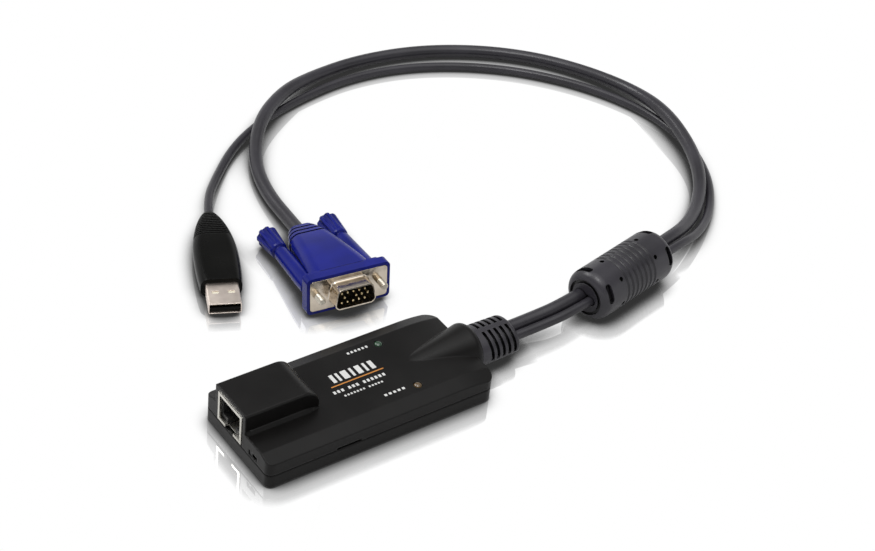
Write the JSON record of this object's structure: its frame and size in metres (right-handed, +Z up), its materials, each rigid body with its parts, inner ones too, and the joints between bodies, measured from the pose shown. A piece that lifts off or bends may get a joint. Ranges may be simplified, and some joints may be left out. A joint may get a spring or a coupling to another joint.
{
  "type": "server console adapter dongle",
  "caption": "Flat black console adapter with a raised network socket at one end and two cables that share a ferrite and end in a blue monitor plug and a USB plug.",
  "frame": {"origin": "under the middle of the housing, on the surface that it lies on", "axes": "+X from the network socket to the cable exit, +Y towards the socket's side of the housing, +Z up"},
  "size_m": [0.2617, 0.204, 0.0202],
  "materials": {
    "black_shell": "as moulded",
    "screw_steel": "plain metal",
    "board_green": "as moulded",
    "chip_black": "as moulded",
    "tin": "plain metal",
    "gold": "plain metal",
    "green_lens": "as moulded",
    "amber_lens": "as moulded",
    "knob_plastic": "as moulded",
    "cable_grey": "as moulded",
    "ferrite": "as moulded",
    "grip_black": "as moulded",
    "nickel": "plain metal",
    "blue_plastic": "as moulded",
    "thumb_steel": "plain metal"
  },
  "bodies": {
    "adapter": {"top_cover": "black_shell", "bottom_cover": "black_shell", "cover_screws": "screw_steel", "circuit_board": "board_green", "main_chip": "chip_black", "video_chip": "chip_black", "jack_insert": "chip_black", "switch_can": "chip_black", "crystal": "tin", "led_legs": "tin", "jack_shield": "tin", "jack_contacts": "gold", "usb_contacts": "gold", "vga_pins": "gold", "online_led": "green_lens", "power_led": "amber_lens", "cable_boot": "cable_grey", "vga_cable": "cable_grey", "usb_cable": "cable_grey", "ferrite_sleeve": "cable_grey", "ferrite_core": "ferrite", "usb_grip": "grip_black", "usb_tongue": "grip_black", "vga_insulator": "grip_black", "usb_shell": "nickel", "vga_shell": "nickel", "vga_hood": "blue_plastic"},
    "left_thumbscrew": {"left_thumb_grip": "blue_plastic", "left_thumb_screw": "thumb_steel"},
    "right_thumbscrew": {"right_thumb_grip": "blue_plastic", "right_thumb_screw": "thumb_steel"},
    "recovery_switch": {"switch_knob": "knob_plastic"}
  },
  "joints": [
    {"name": "left_thumbscrew_turn", "type": "hinge", "parent": "adapter", "child": "left_thumbscrew", "pos_m": [0.01541, 0.04723, 0.00955], "axis": [-0.1297, -0.9851, 0.1132], "continuous": true},
    {"name": "right_thumbscrew_turn", "type": "hinge", "parent": "adapter", "child": "right_thumbscrew", "pos_m": [0.04019, 0.04397, 0.00955], "axis": [-0.1297, -0.9851, 0.1132], "continuous": true},
    {"name": "recovery_switch_slide", "type": "slide", "parent": "adapter", "child": "recovery_switch", "axis": [0, -1, 0], "range_m": [0, 0.0029]}
  ]
}
